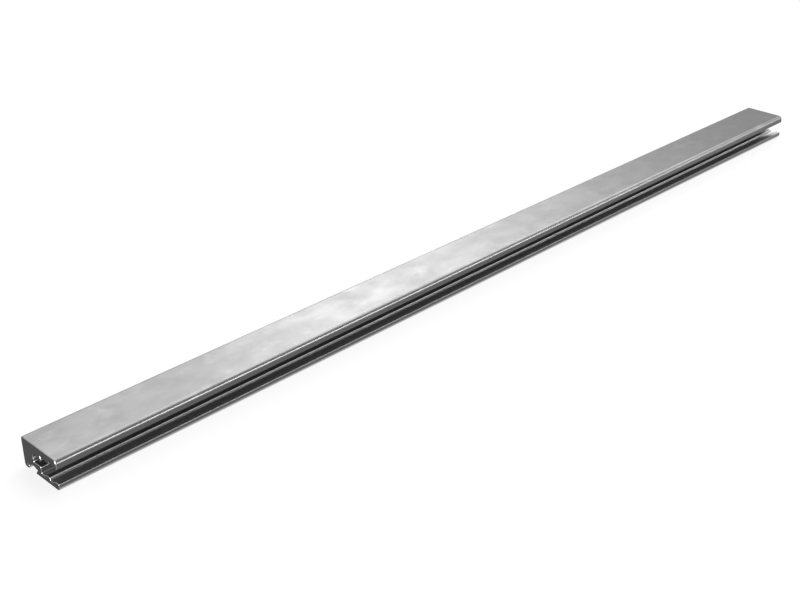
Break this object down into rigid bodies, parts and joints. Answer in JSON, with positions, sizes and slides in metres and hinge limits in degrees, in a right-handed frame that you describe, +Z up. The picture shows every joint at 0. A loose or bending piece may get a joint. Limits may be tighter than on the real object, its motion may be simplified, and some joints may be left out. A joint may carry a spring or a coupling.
{
  "type": "aluminium extrusion profile",
  "caption": "Long straight aluminium extrusion with a wide stepped slot along one side and a narrow undercut groove along the bottom, both cut ends square.",
  "frame": {"origin": "middle of the bottom face, halfway along the bar", "axes": "+X along the bar, -Y out of the open side of the wide slot, +Z up from the grooved bottom to the plain top face"},
  "size_m": [0.69, 0.032, 0.018],
  "materials": {
    "aluminium": "satin"
  },
  "bodies": {
    "root": {"extruded_profile": "aluminium"}
  },
  "joints": []
}
